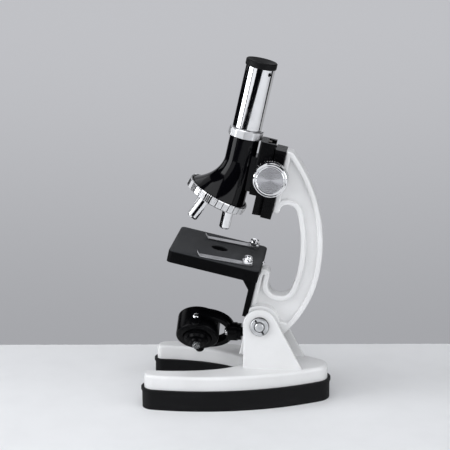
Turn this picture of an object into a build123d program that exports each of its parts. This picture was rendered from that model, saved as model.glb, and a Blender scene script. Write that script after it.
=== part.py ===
from build123d import *
import math
import os

# A small student microscope. Millimetres, +Z up, +X from the toes of the base to its heel, +Y across.
# The arm leans back on the base's ears, and carries the stage, the focus slide, the tube and the lamp.

# Base casting and its rubber boot
base_length = 116.0
base_width = 71.4
base_side_radius = 160.0
base_heel_radius = 10.9
base_height = 22.5
base_wall = 2.8
base_edge = 2.0
arch_width = 46.4
arch_tip_x = 3.5
arch_curve_length = 53.5
toe_outer_radius = 7.0
toe_inner_radius = 3.6
boot_wall = 1.4
boot_floor = 2.5
boot_height = 13.3
boot_lip = 0.6
boot_lip_height = 1.8
boot_clearance = 0.08

# Ears and the pivot between them
pivot_x = 14.9
pivot_z = 51.0
ear_radius = 10.8
ear_thickness = 3.0
ear_gap = 21.8
ear_heel_x = 43.0
ear_edge = 0.8
bolt_radius = 3.0
bolt_clearance = 0.06
nut_radius = 6.1
nut_height = 2.2
bolt_dome = 1.2
washer_thickness = 0.5
washer_gap = 0.15

# Arm, in the leaning frame: x back from the optical axis, z up from the stage's top face
lean = 12.6
pivot_back = 36.8
pivot_drop = 40.3
arm_face = 27.8
arm_thickness = 12.0
arm_top = 73.3
arm_back = 66.0
arm_back_z = -2.0
arm_upper_radius = 100.4
arm_lower_radius = 74.9
arm_band = 14.0
arm_flange = 3.6
arm_foot = -65.0
arm_rim = 3.4
arm_recess = 2.5
arm_edge = 1.0
lip_z = 32.6
lip_depth = 4.4
opening_top = 39.6
opening_bottom = -20.4
horn_depth = 7.5
horn_top = -5.4
boss_radius = 12.5

# Stage, its bracket and clips
stage_length = 58.5
stage_width = 58.6
stage_sheet = 1.3
stage_skirt = 8.0
stage_corner = 3.0
stage_hole_radius = 5.5
bracket_width = 15.0
bracket_depth = 3.7
bracket_foot = -38.5
bracket_sheet = 1.5
gusset_reach = 15.0
clip_screw_back = 20.2
clip_screw_side = 21.0
clip_width = 2.4
clip_sheet = 0.5
clip_lift = 0.3
clip_length = 30.5
clip_tip_length = 3.4
clip_tip_angle = 50.0
clip_rest_turn = 10.5
clip_screw_radius = 3.6
clip_screw_height = 5.0
clip_stud_radius = 1.5

# Focus slide: guide block on the arm, carriage on the tube, rack and pinion between them
block_front = 21.0
block_width = 17.0
block_bottom = 28.6
block_top = 73.4
rail_front = 15.4
rail_nose_width = 12.4
rail_root_width = 9.6
rail_slot_width = 5.4
slide_clearance = 0.12
carriage_front = 10.8
carriage_back = 20.25
carriage_bottom = 41.5
carriage_top = 76.2
gear_module = 0.7
pinion_teeth = 12
pinion_width = 4.6
gear_backlash = 0.24
rack_width = 4.0
pinion_z = 56.1
shaft_radius = 1.8
shaft_clearance = 0.05
knob_radius = 11.0
knob_depth = 7.5
knob_outer_y = 20.5
knob_knurls = 44

# Tube, nosepiece and objectives
tube_radius = 9.5
tube_bore = 7.5
tube_top = 75.3
tube_flare_z = 60.0
foot_radius = 18.2
foot_lip = 1.8
turret_tilt = 16.2
turret_axis_front = 9.55
turret_z = 32.85
turret_radius = 19.9
turret_height = 4.4
turret_gap = 0.3
turret_floor = 2.2
turret_pin_radius = 2.2
objective_radius = 3.6
objective_tip = 13.8
objective_steps = (0.0, -1.0, 0.8)
objective_bore = 2.0
collar_radius = 11.0
collar_top = 80.8
collar_sides = 12

# Eyepiece
eyepiece_radius = 9.4
eyepiece_wall = 1.2
eyepiece_top = 120.5
sleeve_clearance = 0.05
sleeve_wall = 0.8
sleeve_bottom = 50.0
cap_radius = 9.9
cap_height = 4.1
eye_hole_radius = 3.2
eyepiece_gap = 0.3

# Lamp and mirror drum in its fork
lamp_x = -26.7
lamp_z = 42.4
lamp_roll = 52.0
drum_radius = 14.0
drum_depth = 15.8
drum_pin_offset = 2.0
drum_wall = 2.4
drum_edge = 1.4
fork_gap = 0.6
fork_sheet = 2.2
fork_width = 10.0
fork_back = 19.7
fork_flange = 1.6
fork_tip_radius = 5.0
fork_pin_radius = 1.5
hub_thickness = 2.4
hub_length = 22.4
stem_disc_radius = 5.5
stem_disc_thickness = 2.6
stem_radius = 3.0
stem_depth = 8.0
led_radius = 2.5


# Leaning frame: x away from the optical axis towards the arm, z up the axis, origin at the stage hole
lean_sin = math.sin(math.radians(lean))
lean_cos = math.cos(math.radians(lean))
stage_x = pivot_x - (pivot_back * lean_cos - pivot_drop * lean_sin)
stage_z = pivot_z + pivot_back * lean_sin + pivot_drop * lean_cos
leaning = Plane(
    origin=(stage_x, 0, stage_z),
    x_dir=(lean_cos, 0, -lean_sin),
    z_dir=(lean_sin, 0, lean_cos),
)

# Turret frame, inside the leaning frame: z up the turret's own axis
turret_sin = math.sin(math.radians(turret_tilt))
turret_cos = math.cos(math.radians(turret_tilt))
turret = Plane(
    origin=(-turret_axis_front, 0, turret_z),
    x_dir=(turret_cos, 0, -turret_sin),
    z_dir=(turret_sin, 0, turret_cos),
)

# Lamp frame: x along the stem to the arm, y along the fork's pins, z out of the lamp's face
roll_sin = math.sin(math.radians(lamp_roll))
roll_cos = math.cos(math.radians(lamp_roll))
lamp = Plane(origin=(lamp_x, 0, lamp_z), x_dir=(1, 0, 0), z_dir=(0, -roll_sin, -roll_cos))

pitch_radius = gear_module * pinion_teeth / 2
pinion_x = block_front + 1.4


def post(radius, bottom, top, x=0.0, y=0.0):
    """A round bar along z."""
    bar = Cylinder(radius, top - bottom, align=(Align.CENTER, Align.CENTER, Align.MIN))
    return Pos(x, y, bottom) * bar


def crossbar(radius, start, end, x=0.0, z=0.0):
    """A round bar along y."""
    bar = Cylinder(radius, end - start, align=(Align.CENTER, Align.CENTER, Align.MIN))
    return Pos(x, start, z) * (Rot(-90, 0, 0) * bar)


def rod(radius, start, end, y=0.0, z=0.0):
    """A round bar along x."""
    bar = Cylinder(radius, end - start, align=(Align.CENTER, Align.CENTER, Align.MIN))
    return Pos(start, y, z) * (Rot(0, 90, 0) * bar)


def block(x, y, z):
    """A box between pairs of limits."""
    size = [high - low for low, high in (x, y, z)]
    return Pos(x[0], y[0], z[0]) * Box(*size, align=(Align.MIN, Align.MIN, Align.MIN))


def across(outline, start, end):
    """An outline drawn in x and z, carried along y."""
    return extrude(Plane.XZ.offset(-end) * outline, end - start)


def spun(*points):
    """A closed outline of radius and height, turned about z."""
    return revolve(Plane.XZ * make_face(Polyline(*points, close=True)), Axis.Z)


def swing(centre, start, end):
    """The shorter arc from start to end about a centre."""
    first = math.atan2(start[1] - centre[1], start[0] - centre[0])
    last = math.atan2(end[1] - centre[1], end[0] - centre[0])
    turn = (last - first + math.pi) % (2 * math.pi) - math.pi
    radius = math.dist(centre, start)
    middle = first + turn / 2
    via = (centre[0] + radius * math.cos(middle), centre[1] + radius * math.sin(middle))
    return ThreePointArc(start, via, end)


def corner(outline, point):
    """The corner of an outline that is nearest to a point."""
    return min(outline.vertices(), key=lambda v: math.dist((v.X, v.Y), point))


def screw(head_radius, head_height, shank_radius, shank_length, slot=0.6):
    """A slotted screw: its seat at z = 0, the head above, the shank below."""
    head = fillet(post(head_radius, 0, head_height).edges().group_by(Axis.Z)[-1], head_height * 0.45)
    cut = block((-head_radius, head_radius), (-slot / 2, slot / 2), (head_height - slot, head_height))
    return head - cut + post(shank_radius, -shank_length, 0)


def pointing(origin, direction):
    """Where a piece made along z goes, to stand at origin and point in a direction."""
    return Plane(origin=origin, z_dir=direction).location


def horseshoe(grow):
    """The base's plan: two arcs closing on a round heel, less the arch between the legs."""
    heel_x = base_length / 2 - base_heel_radius
    side = base_side_radius + grow
    half = base_width / 2 + grow
    front = -base_length / 2 - grow
    centre_y = side - half
    reach = base_side_radius - base_heel_radius
    side_x = heel_x - math.sqrt(reach**2 - centre_y**2)
    join = (side_x + side * (heel_x - side_x) / reach, centre_y * (1 - side / reach))
    toe = (front, centre_y - math.sqrt(side**2 - (front - side_x) ** 2))
    rim = [
        ThreePointArc(toe, (side_x, -half), join),
        ThreePointArc(join, (base_length / 2 + grow, 0), (join[0], -join[1])),
        ThreePointArc((join[0], -join[1]), (side_x, half), (toe[0], -toe[1])),
        Line((toe[0], -toe[1]), toe),
    ]
    arch_half = arch_width / 2 - grow
    arch_x = arch_tip_x - arch_curve_length
    arch = Pos(arch_x, 0) * Ellipse(arch_curve_length - grow, arch_half)
    mouth = Pos(arch_x, 0) * Rectangle(
        base_length, 2 * arch_half, align=(Align.MAX, Align.CENTER)
    )
    plan = make_face(rim) - (arch + mouth)
    for y in (-1, 1):
        plan = fillet(corner(plan, (front, -y * toe[1])), toe_outer_radius + grow)
        plan = fillet(corner(plan, (front, y * arch_half)), toe_inner_radius + grow)
    return plan


def ear_outline():
    """One ear: upright in front, round about the pivot, sloping down to the heel."""
    foot = base_height - base_wall / 2
    front = pivot_x - ear_radius
    run, rise = ear_heel_x - pivot_x, foot - pivot_z
    span = math.hypot(run, rise)
    angle = math.atan2(rise, run) + math.acos(ear_radius / span)
    touch = (pivot_x + ear_radius * math.cos(angle), pivot_z + ear_radius * math.sin(angle))
    top = (pivot_x, pivot_z + ear_radius)
    return make_face(
        [
            Line((front, foot), (front, pivot_z)),
            ThreePointArc((front, pivot_z), top, touch),
            Line(touch, (ear_heel_x, foot)),
            Line((ear_heel_x, foot), (front, foot)),
        ]
    )


def base_casting():
    """The hollow horseshoe with its two ears."""
    shell = Pos(0, 0, boot_floor) * extrude(horseshoe(0), base_height - boot_floor)
    shell = fillet(shell.edges().group_by(Axis.Z)[-1], base_edge)
    shell -= Pos(0, 0, boot_floor) * extrude(
        horseshoe(-base_wall), base_height - base_wall - boot_floor
    )
    inner = ear_gap / 2
    outer = inner + ear_thickness
    ear = across(ear_outline(), inner, outer)
    ear = fillet(ear.edges().group_by(Axis.Y)[-1], ear_edge)
    ears = ear + mirror(ear, Plane.XZ)
    hole = crossbar(bolt_radius + bolt_clearance / 2, -outer - 1, outer + 1, pivot_x, pivot_z)
    return shell + ears - hole


def rubber_boot():
    """A tray of rubber round the foot of the horseshoe, with a lip at its rim."""
    tray = extrude(horseshoe(boot_wall), boot_height)
    lip = Pos(0, 0, boot_height - boot_lip_height) * extrude(
        horseshoe(boot_wall + boot_lip), boot_lip_height
    )
    well = Pos(0, 0, boot_floor) * extrude(horseshoe(boot_clearance), boot_height)
    return tray + lip - well


def pivot_bolt():
    """The bolt through ears and arm: a round head on the far side, a domed end on the near side."""
    face = ear_gap / 2 + ear_thickness
    end = -face - nut_height - bolt_dome
    bolt = crossbar(bolt_radius, end, face, pivot_x, pivot_z)
    bolt = fillet(bolt.edges().group_by(Axis.Y)[0], bolt_dome * 0.9)
    head = crossbar(nut_radius, face, face + nut_height, pivot_x, pivot_z)
    return bolt + fillet(head.edges().group_by(Axis.Y)[-1], nut_height * 0.4)


def pivot_nut():
    """The round nut on the near ear, with a spanner slot across its face."""
    face = -ear_gap / 2 - ear_thickness
    nut = crossbar(nut_radius, face - nut_height, face, pivot_x, pivot_z)
    nut = chamfer(nut.edges().group_by(Axis.Y)[0], nut_height * 0.2)
    slot = Rot(0, 35, 0) * block((-0.5, 0.5), (-nut_height / 3, 0), (-nut_radius, nut_radius))
    slot = Pos(pivot_x, face - nut_height * 2 / 3, pivot_z) * slot
    hole = crossbar(bolt_radius + bolt_clearance / 2, face - nut_height, face, pivot_x, pivot_z)
    return nut - slot - hole


def pivot_washers():
    """A thin washer on each side of the arm's boss."""
    inner = ear_gap / 2 - washer_thickness
    ring = crossbar(boss_radius * 0.75, inner, inner + washer_thickness, pivot_x, pivot_z)
    ring -= crossbar(bolt_radius + bolt_clearance, inner, ear_gap, pivot_x, pivot_z)
    return ring + mirror(ring, Plane.XZ)


arm_upper_centre = (arm_back - arm_upper_radius, arm_back_z)
arm_lower_centre = (arm_back - arm_lower_radius, arm_back_z)
pivot_point = (pivot_back, -pivot_drop)


def arc_x(centre, radius, z):
    """How far back an arc about a centre stands at a height."""
    return centre[0] + math.sqrt(radius**2 - (z - centre[1]) ** 2)


def arm_outline():
    """The arm from the side: a bow down the back, round the pivot, and a flat face in front."""
    run = pivot_point[0] - arm_lower_centre[0]
    rise = pivot_point[1] - arm_lower_centre[1]
    span = math.hypot(run, rise)
    lug = arm_lower_radius - span
    join = (
        arm_lower_centre[0] + run / span * arm_lower_radius,
        arm_lower_centre[1] + rise / span * arm_lower_radius,
    )
    crest = (arc_x(arm_upper_centre, arm_upper_radius, arm_top), arm_top)
    flange = arm_face + arm_flange
    heel = (flange, pivot_point[1] - math.sqrt(lug**2 - (flange - pivot_back) ** 2))
    under = (pivot_back, pivot_point[1] - lug)
    back = (arm_back, arm_back_z)
    return make_face(
        [
            Line((arm_face, arm_top), crest),
            swing(arm_upper_centre, crest, back),
            swing(arm_lower_centre, back, join),
            swing(pivot_point, join, under),
            swing(pivot_point, under, heel),
            Line(heel, (flange, arm_foot)),
            Line((flange, arm_foot), (arm_face, arm_foot)),
            Line((arm_face, arm_foot), (arm_face, arm_top)),
        ]
    )


def hand_opening():
    """The gap that the hand goes through, open to the front between lip and horn."""
    upper = arm_upper_radius - arm_band
    lower = arm_lower_radius - arm_band
    lip_x = arm_face + lip_depth
    horn_x = arm_face + horn_depth
    outside = arm_face - arm_thickness
    top = (arc_x(arm_upper_centre, upper, opening_top), opening_top)
    low = (arc_x(arm_lower_centre, lower, opening_bottom), opening_bottom)
    back = (arm_back - arm_band, arm_back_z)
    gap = make_face(
        [
            Polyline((outside, lip_z), (lip_x, lip_z), (lip_x, opening_top), top),
            swing(arm_upper_centre, top, back),
            swing(arm_lower_centre, back, low),
            Polyline(low, (horn_x, opening_bottom), (horn_x, horn_top), (outside, horn_top), (outside, lip_z)),
        ]
    )
    rounds = [
        ((lip_x, lip_z), lip_depth * 0.4),
        ((lip_x, opening_top), arm_band * 0.3),
        (top, arm_band * 0.45),
        (low, arm_band * 0.55),
        ((horn_x, opening_bottom), arm_band * 0.5),
        ((horn_x, horn_top), horn_depth * 0.45),
    ]
    for point, radius in rounds:
        gap = fillet(corner(gap, point), radius)
    return gap


def stem_axis():
    """The lamp stem's axis, as a point and a direction in the leaning frame."""
    point = leaning.to_local_coords(Vector(lamp_x, 0, lamp_z))
    return point, Vector(lean_cos, 0, lean_sin)


def stem_bore(radius, start, end):
    """A round bar on the lamp stem's axis, measured along it from the fork's pins."""
    point, way = stem_axis()
    return pointing(point + way * start, way) * post(radius, 0, end - start)


def stem_face():
    """How far the arm's front face lies along the stem's axis from the fork's pins."""
    point, way = stem_axis()
    return (arm_face - point.X) / way.X


def arm_casting():
    """The bowed arm: raised rims round a recessed web, and a boss that turns between the ears."""
    half = arm_thickness / 2
    outline = arm_outline() - hand_opening()
    arm = across(outline, -half, half)
    above = Pos(arm_back, -pivot_drop) * Rectangle(
        2 * arm_back, 2 * arm_top + 2 * pivot_drop, align=(Align.CENTER, Align.MIN)
    )
    web = offset(arm_outline() & above, amount=-arm_rim) - offset(hand_opening(), amount=arm_rim)
    web -= Pos(*pivot_point) * Circle(boss_radius)
    for start, end in ((half - arm_recess, half), (-half, arm_recess - half)):
        arm -= across(web, start, end)
    arm = fillet([e for e in arm.edges() if abs(abs(e.center().Y) - half) < 1e-4], arm_edge)
    arm -= block(
        (arm_face - 1, arm_face + stage_sheet + 0.3), (-half - 1, half + 1), (-stage_skirt - 1, lip_z - 1)
    )
    boss = ear_gap / 2 - washer_thickness - washer_gap
    lug = crossbar(boss_radius, -boss, boss, *pivot_point)
    arm += lug - block((0, arm_face), (-ear_gap, ear_gap), (-pivot_drop - boss_radius, 0))
    arm -= crossbar(bolt_radius + bolt_clearance, -ear_gap, ear_gap, *pivot_point)
    arm -= stem_bore(stem_radius + shaft_clearance, stem_face() - 2, stem_face() + stem_depth + 0.5)
    for z in guide_screw_heights + bracket_screw_heights:
        arm -= rod(1.25, arm_face - 1, arm_face + arm_flange, z=z)
    return arm


guide_screw_heights = [block_bottom + 9, block_top - 8]
bracket_screw_heights = [bracket_foot + 6, bracket_foot + 20]
stage_screw_z = -stage_skirt * 0.42


def stage_plate():
    """A square of sheet with its four edges folded down, a light hole and two screw holes."""
    half = stage_length / 2
    rear = arm_face + stage_sheet
    middle = rear - half
    plan = Pos(middle, 0) * RectangleRounded(stage_length, stage_width, stage_corner)
    inside = Pos(middle, 0) * RectangleRounded(
        stage_length - 2 * stage_sheet, stage_width - 2 * stage_sheet, stage_corner - stage_sheet
    )
    tray = Pos(0, 0, -stage_skirt) * extrude(plan, stage_skirt)
    tray = fillet(tray.edges().group_by(Axis.Z)[-1], stage_sheet * 0.9)
    tray -= Pos(0, 0, -stage_skirt) * extrude(inside, stage_skirt - stage_sheet)
    tray -= post(stage_hole_radius, -stage_skirt, 1)
    for side in (-1, 1):
        tray -= post(clip_stud_radius + 0.05, -stage_skirt, 1, clip_screw_back, side * clip_screw_side)
    return tray - rod(1.0, rear - stage_sheet - 1, rear + 1, z=stage_screw_z)


def stage_bracket():
    """A channel under the stage: a back plate on the arm, two gussets and a top flange."""
    half = bracket_width / 2
    front = arm_face - bracket_depth
    top = -stage_sheet
    knee = top - stage_skirt - bracket_depth - gusset_reach * 0.5
    cheek = make_face(
        Polyline(
            (arm_face, top),
            (front - gusset_reach, top),
            (front - gusset_reach, top - bracket_sheet),
            (front, knee),
            (front, bracket_foot),
            (arm_face, bracket_foot),
            close=True,
        )
    )
    bracket = across(cheek, -half, half)
    bracket -= block(
        (front - gusset_reach - 1, arm_face - bracket_sheet),
        (-half + bracket_sheet, half - bracket_sheet),
        (bracket_foot - 1, top - bracket_sheet),
    )
    for z in bracket_screw_heights + [stage_screw_z]:
        bracket -= rod(1.05, arm_face - bracket_sheet - 1, arm_face + 1, z=z)
    return bracket


def bracket_screws():
    """Two screws through the bracket's back plate into the arm."""
    seat = arm_face - bracket_sheet
    bolt = screw(2.2, 1.4, 1.0, bracket_sheet + arm_flange - 0.4)
    placed = [pointing((seat, 0, z), (-1, 0, 0)) * bolt for z in bracket_screw_heights]
    return placed[0] + placed[1]


def stage_screw():
    """The screw through the stage's rear skirt into its bracket."""
    place = pointing((arm_face + stage_sheet, 0, stage_screw_z), (1, 0, 0))
    return place * screw(1.5, 1.3, 0.95, stage_sheet + bracket_sheet + 1)


def clip_stud(side):
    """A chrome clip screw: knurled head, domed top, stud through the stage."""
    seat = clip_sheet + 2 * clip_lift
    head = RegularPolygon(clip_screw_radius, 12)
    body = Pos(0, 0, seat) * extrude(head, clip_screw_height - clip_screw_radius * 0.5)
    dome = spun(
        (0, seat),
        (clip_screw_radius * 0.93, seat),
        (clip_screw_radius * 0.93, seat + clip_screw_height * 0.55),
        (clip_screw_radius * 0.7, seat + clip_screw_height * 0.85),
        (clip_screw_radius * 0.35, seat + clip_screw_height),
        (0, seat + clip_screw_height),
    )
    tail = post(clip_stud_radius, -stage_sheet, seat) + post(clip_stud_radius + 1, -stage_sheet - 1, -stage_sheet)
    return Pos(clip_screw_back, side * clip_screw_side, 0) * (body + dome + tail)


def clip_screws():
    """The two clip screws."""
    return clip_stud(-1) + clip_stud(1)


def stage_clip(side):
    """A spring strip under its screw, running forward over the stage to a turned-up tip."""
    lift = clip_lift
    turn = math.radians(clip_tip_angle)
    tip = (-clip_length - clip_tip_length * math.cos(turn), lift + clip_tip_length * math.sin(turn))
    strip = make_face(
        Polyline(
            (0, lift),
            (-clip_length, lift),
            tip,
            (tip[0] + clip_sheet * math.sin(turn), tip[1] + clip_sheet * math.cos(turn)),
            (-clip_length + clip_sheet * math.tan(turn / 2), lift + clip_sheet),
            (0, lift + clip_sheet),
            close=True,
        )
    )
    clip = across(strip, -clip_width / 2, clip_width / 2)
    clip += post(clip_screw_radius * 0.85, lift, lift + clip_sheet)
    clip -= post(clip_stud_radius + shaft_clearance, -1, 2)
    return Pos(clip_screw_back, side * clip_screw_side, 0) * (Rot(0, 0, clip_rest_turn) * clip)


def rail_section(clearance):
    """The dovetail's section in x and y, grown by a clearance."""
    nose = rail_nose_width / 2 + clearance
    root = rail_root_width / 2 + clearance
    front = rail_front - clearance
    return make_face(
        Polyline((front, -nose), (front, nose), (block_front, root), (block_front, -root), close=True)
    )


def guide_block():
    """The fixed half of the slide: a block on the arm, a slotted dovetail rail, a pinion pocket."""
    half = block_width / 2
    height = block_top - block_bottom
    body = block((block_front, arm_face), (-half, half), (block_bottom, block_top))
    body = chamfer(body.edges().filter_by(Axis.Z).group_by(Axis.X)[-1], 0.6)
    body += Pos(0, 0, block_bottom) * extrude(rail_section(0), height)
    slot = rail_slot_width / 2
    body -= block((rail_front - 1, block_front), (-slot, slot), (block_bottom - 1, block_top + 1))
    pocket = pitch_radius + gear_module + 0.3
    body -= crossbar(pocket, -slot, slot, pinion_x, pinion_z)
    body -= crossbar(shaft_radius + shaft_clearance, -half - 1, half + 1, pinion_x, pinion_z)
    for side in (-1, 1):
        groove = block((block_front - 1, arm_face + 1), (0, 1), (block_top - 3.2, block_top - 2.5))
        body -= Pos(0, side * (half - 0.1) - 0.5, 0) * groove
    for z in guide_screw_heights:
        body -= rod(2.5, block_front - 1, block_front + 2, z=z) + rod(1.55, block_front, arm_face + 1, z=z)
    return body


def guide_screws():
    """Two screws from the rail's slot through the block into the arm."""
    bolt = screw(2.3, 1.6, 1.2, arm_face + arm_flange - block_front - 2.4)
    placed = [pointing((block_front + 2, 0, z), (-1, 0, 0)) * bolt for z in guide_screw_heights]
    return placed[0] + placed[1]


carriage_screw_heights = [carriage_bottom + 6, carriage_top - 16]


def carriage():
    """The sliding half: a channel that wraps the dovetail, screwed to the tube's rear pad."""
    half = block_width / 2
    body = block((carriage_front, carriage_back), (-half, half), (carriage_bottom, carriage_top))
    body = fillet(body.edges().filter_by(Axis.Z).group_by(Axis.X)[0], 1.5)
    slot = extrude(rail_section(slide_clearance), carriage_top - carriage_bottom + 2)
    body -= Pos(0, 0, carriage_bottom - 1) * slot
    floor = rail_front - slide_clearance
    for z in carriage_screw_heights:
        body -= rod(2.3, floor - 1.8, floor + 1, z=z) + rod(1.3, carriage_front - 1, floor, z=z)
    return body


def carriage_screws():
    """Two screws from the carriage's channel into the pad on the tube."""
    seat = rail_front - slide_clearance - 1.8
    bolt = screw(2.1, 1.5, 1.2, seat - tube_bore - 1.0)
    placed = [pointing((seat, 0, z), (1, 0, 0)) * bolt for z in carriage_screw_heights]
    return placed[0] + placed[1]


def focus_rack():
    """A straight rack along the carriage's channel, its teeth towards the pinion."""
    pitch = math.pi * gear_module
    floor = rail_front - slide_clearance
    line = pinion_x - pitch_radius
    slope = math.tan(math.radians(20))
    tip = gear_module * 0.7
    root = gear_module * 1.2
    reach = (pitch - gear_backlash) / 4
    count = int((min(pinion_z - carriage_bottom, carriage_top - pinion_z) - 1) / pitch)
    points = [(floor, carriage_bottom + 0.2), (line - root, carriage_bottom + 0.2)]
    for index in range(-count, count):
        middle = pinion_z + (index + 0.5) * pitch
        points += [
            (line - root, middle - reach - root * slope),
            (line + tip, middle - reach + tip * slope),
            (line + tip, middle + reach - tip * slope),
            (line - root, middle + reach + root * slope),
        ]
    points += [(line - root, carriage_top - 0.2), (floor, carriage_top - 0.2)]
    return across(make_face(Polyline(*points, close=True)), -rack_width / 2, rack_width / 2)


def pinion_gear():
    """A twelve-tooth pinion with involute flanks, a tooth pointing at the rack at rest."""
    base = pitch_radius * math.cos(math.radians(20))
    root = pitch_radius - gear_module * 1.2
    tip = pitch_radius + gear_module * 0.95
    spread = math.tan(math.radians(20)) - math.radians(20)
    half = math.pi / (2 * pinion_teeth) - gear_backlash / (4 * pitch_radius)
    flank = [(root, half + spread)]
    for step in range(4):
        radius = base + (tip - base) * step / 3
        roll = math.acos(base / radius)
        flank.append((radius, half + spread - (math.tan(roll) - roll)))
    points = []
    for tooth in range(pinion_teeth):
        centre = math.pi + 2 * math.pi * tooth / pinion_teeth
        for radius, angle in flank:
            points.append((radius * math.cos(centre - angle), radius * math.sin(centre - angle)))
        for radius, angle in reversed(flank):
            points.append((radius * math.cos(centre + angle), radius * math.sin(centre + angle)))
    gear = across(make_face(Polyline(*points, close=True)), -pinion_width / 2, pinion_width / 2)
    gear -= crossbar(shaft_radius, -pinion_width, pinion_width)
    return Pos(pinion_x, 0, pinion_z) * gear


def pinion_shaft():
    """The shaft that joins the two knobs."""
    end = knob_outer_y - knob_depth * 0.5
    return crossbar(shaft_radius, -end, end, pinion_x, pinion_z)


def focus_knob(side):
    """A turned knob: knurled rim, bevelled edge, ring groove and a slightly dished face."""
    inner = block_width / 2 + 0.6
    back = knob_outer_y - knob_depth - inner
    face = back + knob_depth
    knob = spun(
        (0, 0),
        (knob_radius * 0.42, 0),
        (knob_radius * 0.42, back),
        (knob_radius - 0.8, back),
        (knob_radius, back + 0.8),
        (knob_radius, face - 1.0),
        (knob_radius - 1.0, face),
        (knob_radius - 1.8, face),
        (knob_radius - 2.1, face - 0.5),
        (knob_radius - 2.6, face - 0.5),
        (knob_radius - 2.9, face - 0.2),
        (0, face - 0.45),
    )
    groove = Pos(knob_radius + 0.25, 0, back) * (Rot(0, 0, 45) * Box(0.8, 0.8, 2 * knob_depth))
    grooves = [Rot(0, 0, 360 * i / knob_knurls) * groove for i in range(knob_knurls)]
    ring = post(knob_radius + 1, back + 1.0, face - 1.2)
    knob -= Compound(grooves) & ring
    knob -= post(shaft_radius, -1, face - knob_depth * 0.5)
    return pointing((pinion_x, side * inner, pinion_z), (0, side, 0)) * knob


def foot_rear():
    """The rearmost point of the tube's foot."""
    return turret.from_local_coords(Vector(foot_radius, 0, turret_height / 2 + turret_gap + foot_lip))


def tube_section(share):
    """A ring of the tube's flare: its plane turns and its radius grows from tube to foot."""
    angle = math.radians(turret_tilt * share)
    radius = tube_radius + (foot_radius - tube_radius) * share**1.8
    top = Vector(tube_radius, 0, tube_flare_z)
    rear = top + (foot_rear() - top) * share
    way = Vector(math.cos(angle), 0, -math.sin(angle))
    normal = Vector(math.sin(angle), 0, math.cos(angle))
    return Plane(origin=rear - way * radius, x_dir=way, z_dir=normal) * Circle(radius)


def body_tube():
    """The black tube: a cylinder that flares to the tilted foot above the nosepiece."""
    flare = loft([tube_section(share) for share in (0, 0.25, 0.5, 0.75, 1)])
    barrel = post(tube_radius, tube_flare_z, tube_top)
    foot_low = turret_height / 2 + turret_gap
    foot = turret.location * post(foot_radius, foot_low, foot_low + foot_lip)
    pad = block((0, carriage_front), (-6, 6), (carriage_bottom + 1, carriage_top - 11))
    tube = barrel + flare + foot + pad
    tube -= post(tube_bore, sleeve_bottom - 4, tube_top + 1)
    tube -= post(objective_radius + 0.6, 20, tube_top)
    tube -= turret.location * post(1.6, 0, 9)
    for z in carriage_screw_heights:
        tube -= rod(1.25, tube_bore + 0.7, carriage_front + 1, z=z)
    return tube


def tube_collar():
    """The faceted chrome collar on top of the tube."""
    sides = Rot(0, 0, 180 / collar_sides) * RegularPolygon(collar_radius, collar_sides)
    ring = extrude(sides, collar_top - tube_top)
    ring = fillet(ring.edges().filter_by(Axis.Z), 1.2)
    ring = Pos(0, 0, tube_top) * chamfer(ring.edges().group_by(Axis.Z)[-1], 0.4)
    return ring - post(tube_bore, tube_top - 1, collar_top + 1)


def nosepiece():
    """The chrome turret: a rimmed dish with a ribbed edge and three slanted seats."""
    low, high = -turret_height / 2, turret_height / 2
    dish = spun(
        (0, low),
        (turret_radius - 2.0, low),
        (turret_radius, low + 1.4),
        (turret_radius, high - 0.4),
        (turret_radius - 0.4, high),
        (turret_radius - 1.6, high),
        (turret_radius - 1.6, low + turret_floor),
        (0, low + turret_floor),
    )
    rib = Pos(turret_radius + 0.2, 0, 0) * (Rot(0, 0, 45) * Box(0.75, 0.75, turret_height + 1))
    ribs = []
    for group in range(9):
        for line in range(4):
            ribs.append(Rot(0, 0, 40 * group + 4.2 * (line - 1.5) + 20) * rib)
    dish -= Compound(ribs)
    dish -= post(turret_pin_radius + shaft_clearance, low - 1, high)
    dish = turret.location * dish
    for index in range(3):
        dish -= seated(index, post(objective_radius - 0.8, 5, 60))
    return dish


def seat_z(level):
    """Where the optical axis crosses a level of the turret's own axis."""
    return turret_z + (level - turret_axis_front * turret_sin) / turret_cos


def seated(index, piece):
    """A piece made on the optical axis, turned about the turret to one of its three seats."""
    axis = Axis(turret.origin, turret.z_dir)
    return piece.rotate(axis, 120 * index)


def objective(index):
    """A plain chrome objective barrel with a stepped nose, a neck in the turret and a bore."""
    tip = objective_tip - objective_steps[index]
    slope = math.tan(math.radians(turret_tilt))
    shoulder = seat_z(-turret_height / 2) - objective_radius * slope - 0.15
    neck_top = seat_z(turret_floor - turret_height / 2) + 0.5
    barrel = spun(
        (objective_bore, tip),
        (objective_radius - 0.9, tip),
        (objective_radius - 0.3, tip + 0.6),
        (objective_radius, tip + 1.0),
        (objective_radius, shoulder),
        (objective_radius - 0.85, shoulder),
        (objective_radius - 0.85, neck_top),
        (objective_bore, neck_top),
    )
    return seated(index, barrel)


def objective_lenses():
    """A small front lens in each objective."""
    lenses = None
    for index in range(3):
        tip = objective_tip - objective_steps[index]
        lens = seated(index, post(objective_bore, tip + 0.4, tip + 1.8))
        lenses = lens if lenses is None else lenses + lens
    return lenses


def turret_screw():
    """The screw that the nosepiece turns on."""
    low = -turret_height / 2
    pin = spun(
        (0, low - 1.6),
        (2.2, low - 1.6),
        (3.4, low - 0.9),
        (3.4, low - turret_gap),
        (turret_pin_radius, low - turret_gap),
        (turret_pin_radius, turret_height / 2 + turret_gap),
        (1.55, turret_height / 2 + turret_gap),
        (1.55, 8.5),
        (0, 8.5),
    )
    return turret.location * pin


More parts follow.
